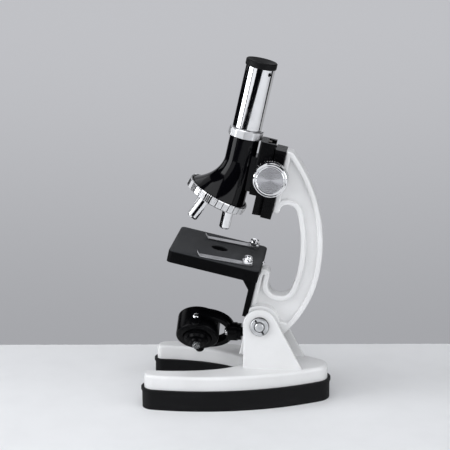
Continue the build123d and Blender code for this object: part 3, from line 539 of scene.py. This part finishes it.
# flats: the edge lies at radius times cos(half a flat's angle) / cos(angle from its middle),
# and what comes back is its change from the radius
def flatsEdge(angle, radius, count):
    return radius * (math.cos(math.pi / count) / np.cos(fromFlat(angle, count)) - 1)


meshLook = {"unit": 0.001, "weld": 1e-6, "sliver": 1e-7, "crease": math.radians(32)}


def addPiece(name, shells, place, finish, body, node=None):
    origin, axes = place
    points, faces = [], []
    for shellPoints, shellFaces in shells:
        start = len(points)
        points += (np.array(shellPoints) * meshLook["unit"] @ np.array(axes) + np.array(origin)).tolist()
        faces += [[start + i for i in face] for face in shellFaces]
    mesh = bpy.data.meshes.new(name)
    mesh.from_pydata(points, [], faces)
    work = bmesh.new()
    work.from_mesh(mesh)
    bmesh.ops.remove_doubles(work, verts=work.verts, dist=meshLook["weld"])
    bmesh.ops.dissolve_degenerate(work, edges=work.edges, dist=meshLook["sliver"])
    bmesh.ops.recalc_face_normals(work, faces=work.faces)
    work.to_mesh(mesh)
    work.free()
    mesh.polygons.foreach_set("use_smooth", [True] * len(mesh.polygons))
    mesh.set_sharp_from_angle(angle=meshLook["crease"])
    mesh.materials.append(finish)
    piece = bpy.data.objects.new(name, mesh)
    bpy.context.scene.collection.objects.link(piece)
    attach(piece, body)
    if node:
        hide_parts(node)


# skirt: inset, rise and share of each point at the bottom edge; lip: inset and drop of those at the top
turretLook = {"radius": 20.4, "hole": 2.3, "bottom": -1.6, "floor": 0.0, "top": 4.2, "wall": 1.5,
              "skirt": [(1.4, 0, 0.3), (0.3, 0.5, 1), (0, 0.8, 1)], "lip": [(0, 0.5), (0.4, 0)],
              "facets": 30, "seamHalf": 0.17, "grips": (-126, -101), "gripTurn": 120, "gripHalf": 6.5,
              "ribs": 4, "ribGap": 0.45, "ribDepth": 0.8, "steps": 1080}


# edge of the turret: flats, less a groove at each seam between them and a square wave of ribs in each grip
def turretEdge(angle):
    radius, facets, depth, half = (turretLook[key] for key in ("radius", "facets", "ribDepth", "gripHalf"))
    seam = np.abs(fromFlat(angle, facets)) > math.pi / facets - turretLook["seamHalf"] / radius
    edge = flatsEdge(angle, radius, facets) - depth * seam
    turn, pitch = turretLook["gripTurn"], 2 * half / turretLook["ribs"]
    for centre in turretLook["grips"]:
        # the grips come round three times
        away = np.mod(np.degrees(angle) - centre + turn / 2, turn) - turn / 2
        groove = np.mod(away + half, pitch) < pitch * turretLook["ribGap"]
        edge = edge - depth * groove * (np.abs(away) < half) * ~seam
    return edge


# turret: a lathe cup with a hole in its floor, whose outside follows the edge
def turretRing():
    radius, bottom, top = (turretLook[key] for key in ("radius", "bottom", "top"))
    floor, hole, inside = turretLook["floor"], turretLook["hole"], radius - turretLook["wall"]
    profile = [
        (hole, bottom, 0),
        *[(radius - inset, bottom + rise, share) for inset, rise, share in turretLook["skirt"]],
        *[(radius - inset, top - drop, 1) for inset, drop in turretLook["lip"]],
        (inside, top, 0), (inside, floor, 0), (hole, floor, 0),
    ]
    shell = spunShell(profile, turretEdge, turretLook["steps"])
    addPiece("turret_ring", [shell], turretFrame, ribbedChrome(), "nosepiece", "nosepiece")


# rings: how far each point of the turned face lies inside the rim, and how far it is sunk
knobShape = {"radius": 11.0, "back": 13.0, "face": 20.5, "hub": 4.6, "bevel": 0.8, "dish": 0.45,
             "rings": [(0, 1.0), (0.3, 0.3), (0.9, 0), (1.2, 0.1), (1.4, 0.9), (1.9, 0.9), (2.1, 0.3),
                       (2.4, 0.15), (2.7, 0.3), (2.8, 0.7), (3.0, 0.7), (3.1, 0.35)],
             "knurlFrom": 1.0, "knurlTo": 1.3, "knurls": 44, "knurlDepth": 0.25, "knurlSlope": 3,
             "knurlSteps": 8}


# knurled edge: a row of V grooves round the rim, each deepest in the middle of its pitch
def knurledEdge(angle):
    place = np.mod(angle * knobShape["knurls"] / (2 * math.pi), 1)
    return -knobShape["knurlDepth"] * np.clip(1 - np.abs(place - 0.5) * knobShape["knurlSlope"], 0, 1)


# knobs: one lathe profile from the hub to the ringed face, turned to each side along the shaft
def turnedKnobs():
    radius, back, face, hub, bevel = (knobShape[key] for key in ("radius", "back", "face", "hub", "bevel"))
    for name, side in (("near", -1), ("far", 1)):
        low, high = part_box("focus_knob_" + name)
        inner = min(abs(low[1]), abs(high[1])) / meshLook["unit"]
        profile = [
            (0, inner, 0), (hub, inner, 0), (hub, back, 0),
            (radius - bevel, back, 0), (radius, back + bevel, 0),
            (radius, back + knobShape["knurlFrom"], 1), (radius, face - knobShape["knurlTo"], 1),
            *[(radius - inset, face - sink, 0) for inset, sink in knobShape["rings"]],
            (0, face - knobShape["dish"], 0),
        ]
        shell = spunShell(profile, knurledEdge, knobShape["knurls"] * knobShape["knurlSteps"])
        addPiece("turned_knob_" + name, [shell], knobFrame(side), knobFinish, "focus_pinion",
                 "focus_knob_" + name)


collarLook = {"radius": 11.0, "bore": 7.6, "bottom": 75.3, "top": 80.8, "lowBevel": 0.3, "bevel": 0.5,
              "sides": 12, "corner": 0.1, "steps": 360}


# twelve flats, with their corners turned down a little
def collarEdge(angle):
    return np.minimum(flatsEdge(angle, collarLook["radius"], collarLook["sides"]), -collarLook["corner"])


# collar: a lathe ring with both outer edges bevelled, whose outside follows the flats
def collarRing():
    radius, bore, bottom, top = (collarLook[key] for key in ("radius", "bore", "bottom", "top"))
    lowBevel, bevel = collarLook["lowBevel"], collarLook["bevel"]
    profile = [
        (bore, bottom, 0), (radius - lowBevel, bottom, 1), (radius, bottom + lowBevel, 1),
        (radius, top - bevel, 1), (radius - bevel, top, 1), (bore, top, 0),
    ]
    shell = spunShell(profile, collarEdge, collarLook["steps"])
    addPiece("collar_ring", [shell], headFrame, collarChrome, "carriage", "tube_collar")


clipLook = {"back": 20.2, "side": 21.0, "turn": 10.5, "length": 30.5, "width": 7.0, "waist": 5.0, "tip": 2.4,
            "tipLength": 3.4, "tipAngle": 50, "lift": 0.3, "sheet": 0.5, "blunt": 0.12,
            "roundSteps": 14, "straightSteps": 12, "tipSteps": 5}


# strip: its half width follows a circle round the screw, then narrows to the bend and again up the tip
def springClips():
    length, tipLength, thick = clipLook["length"], clipLook["tipLength"], clipLook["sheet"]
    half, waist, tip = (clipLook[key] / 2 for key in ("width", "waist", "tip"))
    rise, turn = math.radians(clipLook["tipAngle"]), math.radians(clipLook["turn"])
    roundEnd = half * np.cos(np.linspace(clipLook["blunt"], math.pi / 2, clipLook["roundSteps"]))
    straight = np.linspace(0, -length, clipLook["straightSteps"])[1:]
    tipRun = np.linspace(0, tipLength, clipLook["tipSteps"])[1:]
    x = np.concatenate([roundEnd, straight, -length - tipRun * math.cos(rise)])
    z = clipLook["lift"] + np.concatenate([0 * roundEnd, 0 * straight, tipRun * math.sin(rise)])
    wide = np.concatenate([
        np.sqrt(half**2 - roundEnd**2),
        half + (waist - half) * straight / -length,
        waist + (tip - waist) * tipRun / tipLength,
    ])
    section = ((-1, 0), (1, 0), (1, thick), (-1, thick))
    grid = np.stack([np.stack([x, side * wide, z + level], axis=1) for side, level in section], axis=1)
    along, across = math.cos(turn), math.sin(turn)
    spin = np.array([(along, across, 0), (-across, along, 0), (0, 0, 1)])
    for name, side in (("near", -1), ("far", 1)):
        placed = grid @ spin + np.array([clipLook["back"], side * clipLook["side"], 0])
        shell = gridShell(placed, capped=True)
        addPiece("spring_clip_" + name, [shell], headFrame, springSteel, "clip_" + name,
                 "stage_clip_" + name)


# nut and head: radius and height of each point; skirt: inset and rise
studLook = {"radius": 3.6, "seat": 1.1, "stem": 1.5, "flats": 12, "steps": 96,
            "nut": [(0, -2.3), (2.5, -2.3), (2.5, -1.3), (1.5, -1.3)],
            "skirt": [(0.2, 0), (0, 0.3), (0, 1.7), (0.4, 2.1)],
            "head": [(2.5, 2.2), (2.4, 2.5), (2.7, 2.9), (2.7, 3.8), (2.2, 4.5), (1.2, 4.9), (0, 5.0)]}


def studEdge(angle):
    return flatsEdge(angle, studLook["radius"], studLook["flats"])


# thumb screws: a lathe stud through the stage, with a faceted skirt and a smaller domed head, for each clip
def thumbScrews():
    radius, seat = studLook["radius"], studLook["seat"]
    profile = [
        *[(reach, level, 0) for reach, level in studLook["nut"]],
        (studLook["stem"], seat, 0),
        *[(radius - inset, seat + rise, 1) for inset, rise in studLook["skirt"]],
        *[(reach, seat + rise, 0) for reach, rise in studLook["head"]],
    ]
    points, faces = spunShell(profile, studEdge, studLook["steps"])
    places = [np.array([clipLook["back"], side * clipLook["side"], 0]) for side in (-1, 1)]
    shells = [(points + place, faces) for place in places]
    addPiece("thumb_screws", shells, headFrame, headChrome, "arm", "clip_screws")


nutLook = {"at": (0.0149, 0.0, 0.051), "face": 16.1, "back": 13.9, "radius": 6.1, "bore": 3.5,
           "edge": [(0, 0.5), (0.5, 0.1)], "faceInset": 0.75, "boreInset": 0.05, "rings": 9,
           "slotTurn": 120, "slotHalf": 0.6, "slotDepth": 0.9, "steps": 480}


# slotted nut: a lathe ring whose face sinks where a point lies within half the slot's width of its line
def slottedNut():
    radius, bore, back, face = (nutLook[key] for key in ("radius", "bore", "back", "face"))
    rings = np.linspace(radius - nutLook["faceInset"], bore + nutLook["boreInset"], nutLook["rings"])
    profile = np.array([
        (bore, back), (radius, back),
        *[(radius - inset, face - drop) for inset, drop in nutLook["edge"]],
        *[(ring, face) for ring in rings],
    ])
    angle = np.linspace(0, 2 * math.pi, nutLook["steps"], endpoint=False)[:, None]
    reach = profile[:, 0] + 0 * angle
    slot = np.abs(reach * np.sin(angle - math.radians(nutLook["slotTurn"]))) < nutLook["slotHalf"]
    height = profile[:, 1] - nutLook["slotDepth"] * slot * (profile[:, 1] == face)
    grid = np.stack([reach * np.cos(angle), reach * np.sin(angle), height], axis=2)
    nutFrame = (nutLook["at"], [(1, 0, 0), (0, 0, 1), (0, -1, 0)])
    addPiece("slotted_nut", [gridShell(grid)], nutFrame, slottedSteel(), "base", "pivot_nut")


sleeveLook = {"inner": 5.5, "outer": 6.4, "bottom": -6.0, "top": -1.3, "steps": 96}


# sleeve: a lathe ring under the stage's light hole
def lightSleeve():
    inner, outer, bottom, top = (sleeveLook[key] for key in ("inner", "outer", "bottom", "top"))
    profile = [(inner, bottom, 0), (outer, bottom, 0), (outer, top, 0), (inner, top, 0)]
    shell = spunShell(profile, steps=sleeveLook["steps"])
    addPiece("light_sleeve", [shell], headFrame, stageFinish, "arm")


forkLook = {"inner": 14.6, "bend": 5.1, "sheet": 2.2, "flange": 1.6, "rib": 1.5, "low": -5.0, "width": 6.0,
            "tabHalf": 3.0, "tabDrop": 6.0, "hubFrom": 19.7, "hubTo": 25.9, "hubLength": 14.0,
            "hubWidth": 9.0, "hubRound": 0.45, "bendSteps": 65, "tabSteps": 25, "hubSteps": 48}


# channel: the section's (outward, along) points ride on two straight legs and the half circle between;
# each tab is a slab with a half circle end, and the hub a slab whose corners are quarter circles
def forkArm():
    inner, sheet, low, rib, half = (forkLook[key] for key in ("inner", "sheet", "low", "rib", "tabHalf"))
    rim, high = sheet + forkLook["flange"], low + forkLook["width"]
    section = np.array([
        (0, low), (rim, low), (rim, low + rib), (sheet, low + rib),
        (sheet, high - rib), (rim, high - rib), (rim, high), (0, high),
    ])
    turn = np.linspace(-math.pi / 2, math.pi / 2, forkLook["bendSteps"])
    leg = np.array([half])
    ways = np.concatenate([turn[:1], turn, turn[-1:]])
    centres = np.concatenate([leg, np.full(len(turn), forkLook["bend"]), leg])
    reach = inner + section[:, 0]
    grid = np.stack([
        centres[:, None] + np.cos(ways)[:, None] * reach,
        np.sin(ways)[:, None] * reach,
        np.broadcast_to(section[:, 1], (len(ways), len(section))),
    ], axis=2)
    arc = np.linspace(0, math.pi, forkLook["tabSteps"])
    roundEnd = np.stack([half * np.cos(arc), forkLook["tabDrop"] - half + half * np.sin(arc)], axis=1)
    tab = np.concatenate([roundEnd, [(-half, low), (half, low)]])
    corner = np.linspace(0, 2 * math.pi, forkLook["hubSteps"], endpoint=False)
    square = forkLook["hubWidth"] * forkLook["hubRound"]
    plate = np.stack([
        np.sign(np.cos(corner)) * (forkLook["hubLength"] / 2 - square) + square * np.cos(corner),
        np.sign(np.sin(corner)) * (forkLook["hubWidth"] / 2 - square) + square * np.sin(corner),
    ], axis=1)
    shells = [
        gridShell(grid, capped=True),
        slabShell(tab, inner, inner + sheet, 1),
        slabShell(tab, -inner - sheet, -inner, 1),
        slabShell(plate, forkLook["hubFrom"], forkLook["hubTo"], 0),
    ]
    addPiece("fork_arm", shells, lampFrame, lampFinish, "lamp_fork", "lamp_fork")


# dome: each point's share of the pin's radius, and of the dome's height that is left above it
pinLook = {"radius": 2.0, "from": 12.2, "to": 17.3, "domeHeight": 0.7, "steps": 48,
           "dome": [(1, 1), (0.8, 0.35), (0.4, 0), (0, 0)]}


# two domed pins on the flip axis: a short lathe profile turned to each side of the drum
def forkPins():
    radius, start, end, dome = (pinLook[key] for key in ("radius", "from", "to", "domeHeight"))
    profile = [
        (0, start, 0), (radius, start, 0),
        *[(radius * share, end - dome * left, 0) for share, left in pinLook["dome"]],
    ]
    points, faces = spunShell(profile, steps=pinLook["steps"])
    shells = [(points @ np.array([(1, 0, 0), (0, 0, -side), (0, side, 0)]), faces) for side in (-1, 1)]
    addPiece("pin_heads", shells, lampFrame, lampChrome, "lamp_fork", "fork_pins")


drumLook = {"radius": 14.0, "low": -9.9, "high": 5.9, "edge": 1.5, "edgeSteps": 6, "cell": 5.95,
            "mirrorBore": 11.6, "mirrorDepth": 2.4, "lampBore": 9.6, "lampDepth": 3.4}


# drum: a lathe profile with a well at each end, and a quarter circle round each outer edge
def lampDrum():
    radius, low, high, edge, cell = (drumLook[key] for key in ("radius", "low", "high", "edge", "cell"))
    lamp, floor = drumLook["lampBore"], high - drumLook["lampDepth"]
    mirror, rest = drumLook["mirrorBore"], low + drumLook["mirrorDepth"]
    inset = radius - edge
    quarter = np.linspace(0, math.pi / 2, drumLook["edgeSteps"])
    lowEdge = [(inset + edge * math.sin(a), low + edge - edge * math.cos(a), 0) for a in quarter]
    highEdge = [(inset + edge * math.cos(a), high - edge + edge * math.sin(a), 0) for a in quarter]
    profile = [
        (cell, rest, 0), (mirror, rest, 0), (mirror, low, 0), *lowEdge, *highEdge,
        (lamp, high, 0), (lamp, floor, 0), (cell, floor, 0),
    ]
    shell = spunShell(profile)
    addPiece("lamp_drum_shell", [shell], lampFrame, lampFinish, "lamp_drum", "drum_housing")


# steps: each point's share of the boss's radius, and its height above the floor of the lamp's well
bossLook = {"light": 2.55, "gap": 0.05, "top": 8.2,
            "steps": [(1, 0), (1, 1.2), (0.95, 1.4), (0.93, 4.2), (0.75, 4.6), (0.70, 6.6), (0.48, 7.0),
                      (0.43, 8.2)]}


# boss: a lathe profile that steps inwards from the well's wall to the light
def lampBoss():
    light, outer = bossLook["light"], drumLook["lampBore"] - bossLook["gap"]
    floor = drumLook["high"] - drumLook["lampDepth"]
    profile = [
        (light, floor, 0),
        *[(outer * share, floor + rise, 0) for share, rise in bossLook["steps"]],
        (light, floor + bossLook["top"], 0),
    ]
    shell = spunShell(profile)
    addPiece("lamp_boss", [shell], lampFrame, lampFinish, "lamp_drum", "lamp_bezel")


turretRing()
turnedKnobs()
collarRing()
springClips()
thumbScrews()
slottedNut()
lightSleeve()
forkArm()
forkPins()
lampDrum()
lampBoss()
print("pieces: ring, knobs, collar, clips, screws, nut, sleeve, fork, pins, drum and boss")


# A white table that ends close behind the base, square to the camera, with a lit grey wall behind it.
# The low panel at the wall's foot is for the far side's metal to reflect
roomLook = {"turn": 6.37, "rough": 0.6, "speck": 40, "spread": (0.3, 0.8), "shade": 0.97,
            "table": (0.79, 0.795, 0.80), "tableHalf": 0.9, "front": -0.78, "edge": 0.0962,
            "wall": (0.10, 0.10, 0.10), "wallHalf": 0.75, "wallAt": 1.5, "foot": -2, "head": 3,
            "wallLow": (0.345, 0.35, 0.37), "wallHigh": (0.48, 0.485, 0.51), "glow": (-0.55, 0.06),
            "low": (0.45, 0.455, 0.465), "lowHalf": 3.0, "lowAt": 1.52, "lowTop": -0.22}


# card: one face between two level lines of the same half width, each given by its y and z
def flatCard(name, half, start, end, tone, glow=None):
    mesh = bpy.data.meshes.new(name)
    across, back = math.cos(math.radians(roomLook["turn"])), math.sin(math.radians(roomLook["turn"]))
    corners = [(-half, *start), (half, *start), (half, *end), (-half, *end)]
    turned = [(x * across - y * back, x * back + y * across, z) for x, y, z in corners]
    mesh.from_pydata(turned, [], [tuple(range(len(corners)))])
    card = bpy.data.objects.new(name, mesh)
    bpy.context.scene.collection.objects.link(card)
    f = Finish(name, {"Roughness": roomLook["rough"]})
    speck = f.noise(f.place(), roomLook["speck"], detail=3).step(*roomLook["spread"])
    f.feed({"Base Color": f.blend(speck, tone, tuple(roomLook["shade"] * c for c in tone))})
    if glow:
        height = f.axes(f.place())[2].step(*roomLook["glow"])
        f.feed({"Emission Color": f.blend(height, *glow), "Emission Strength": 1.0})
    card.data.materials.append(f.material)


front, edge = (roomLook["front"], 0), (roomLook["edge"], 0)
flatCard("table_top", roomLook["tableHalf"], front, edge, roomLook["table"])
foot, head = (roomLook["wallAt"], roomLook["foot"]), (roomLook["wallAt"], roomLook["head"])
wallGlow = (roomLook["wallLow"], roomLook["wallHigh"])
flatCard("back_wall", roomLook["wallHalf"], foot, head, roomLook["wall"], wallGlow)
foot, head = (roomLook["lowAt"], roomLook["foot"]), (roomLook["lowAt"], roomLook["lowTop"])
flatCard("low_wall", roomLook["lowHalf"], foot, head, (0, 0, 0), (roomLook["low"], roomLook["low"]))


# mirrored: whether shiny metal shows the light; lit: whether it lights dull surfaces
lightTint = (0.955, 0.97, 1.0)
lightAim = Vector((0, 0, 0.1))
lightLook = {
    "left_box": {"at": (-0.93, -0.36, 0.50), "size": (0.61, 0.9), "power": 9.0},
    "left_fill": {"at": (-0.55, -0.83, 0.50), "size": (0.52, 0.9), "power": 1.6},
    "left_back": {"at": (-0.95, 0.50, 0.46), "size": (0.5, 0.4), "power": 0.7},
    "right_box": {"at": (0.92, -0.44, 0.45), "size": (0.9, 0.9), "power": 6.0},
    "top_box": {"at": (0.0, -0.35, 1.10), "size": (0.9, 0.7), "power": 5.2},
    "mirror_card": {"at": (0.0, 0.75, 1.25), "size": (1.6, 1.0), "power": 4.0, "lit": False},
    "front_fill": {"at": (0.15, -1.20, 0.45), "size": (1.2, 0.8), "power": 5.8, "mirrored": False},
}
for name, look in lightLook.items():
    light = bpy.data.lights.new(name, "AREA")
    light.shape = "RECTANGLE"
    light.size, light.size_y = look["size"]
    light.energy = look["power"]
    light.color = lightTint
    lightObject = bpy.data.objects.new(name, light)
    lightObject.location = look["at"]
    aim = lightAim - lightObject.location
    lightObject.rotation_euler = aim.to_track_quat("-Z", "Y").to_euler()
    lightObject.visible_glossy = look.get("mirrored", True)
    lightObject.visible_diffuse = look.get("lit", True)
    bpy.context.scene.collection.objects.link(lightObject)

# The room in front is dark to the chrome, and plain grey where another view looks past the table
worldLook = {"dark": (0.003, 0.003, 0.004, 1), "plain": (0.45, 0.455, 0.465, 1)}
world = bpy.data.worlds.new("studio")
world.use_nodes = True
worldTree = world.node_tree
seen = worldTree.nodes.new("ShaderNodeLightPath")
tone = worldTree.nodes.new("ShaderNodeMix")
tone.data_type = "RGBA"
tone.inputs[6].default_value = worldLook["dark"]
tone.inputs[7].default_value = worldLook["plain"]
worldTree.links.new(seen.outputs["Is Camera Ray"], tone.inputs[0])
worldTree.links.new(tone.outputs[2], worldTree.nodes["Background"].inputs[0])
bpy.context.scene.world = world

cameraLook = {
    "at": (0.10146, -0.94665, 0.36554),
    "aim": (-0.008726, 0.0, 0.113758),
    "sensor": 36,
    "lens": 123.3,
    "roll": -0.234,
    "reach": 20,
}
camera = bpy.data.cameras.new("camera")
camera.sensor_width = cameraLook["sensor"]
camera.lens = cameraLook["lens"]
camera.clip_end = cameraLook["reach"]
cameraObject = bpy.data.objects.new("camera", camera)
cameraObject.location = cameraLook["at"]
sight = Vector(cameraLook["aim"]) - Vector(cameraLook["at"])
cameraObject.rotation_euler = sight.to_track_quat("-Z", "Y").to_euler()
cameraObject.rotation_euler.rotate_axis("Z", math.radians(cameraLook["roll"]))
bpy.context.scene.collection.objects.link(cameraObject)
bpy.context.scene.camera = cameraObject
bpy.context.scene.view_settings.view_transform = "Standard"
print("room, lights and camera set")
